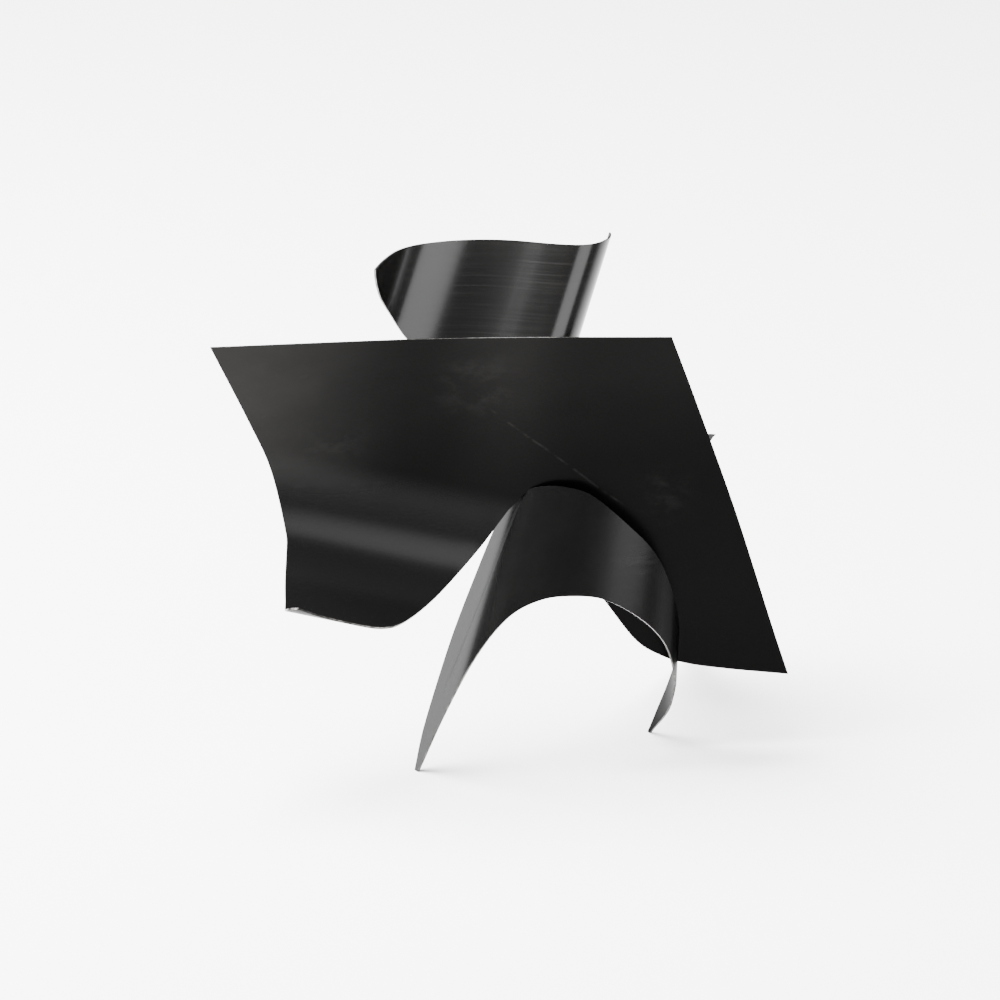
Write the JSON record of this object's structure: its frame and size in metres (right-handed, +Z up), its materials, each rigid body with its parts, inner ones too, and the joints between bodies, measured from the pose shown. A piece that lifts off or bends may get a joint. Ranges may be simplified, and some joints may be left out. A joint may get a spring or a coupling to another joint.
{
  "type": "abstract metal sculpture",
  "caption": "Tabletop abstract sculpture of rolled black steel sheets: a wide front plate, a tapering arch it rests on, and a leaning curled rear sheet ending in a rear leg.",
  "frame": {"origin": "on the floor, under the middle of the sculpture's bounding box", "axes": "+Z up, -Y towards the viewer of the picture (the plate's broad face), +X to the viewer's right"},
  "size_m": [0.4606, 0.4113, 0.4114],
  "materials": {
    "plate_steel": "satin black patina on rolled sheet steel, with thin bare cut edges",
    "band_steel": "satin black patina on rolled sheet steel, with thin bare cut edges",
    "rear_steel": "satin black patina on rolled sheet steel, with thin bare cut edges"
  },
  "bodies": {
    "root": {"front_plate": "plate_steel", "arch_band": "band_steel", "rear_sheet": "rear_steel"}
  },
  "joints": []
}
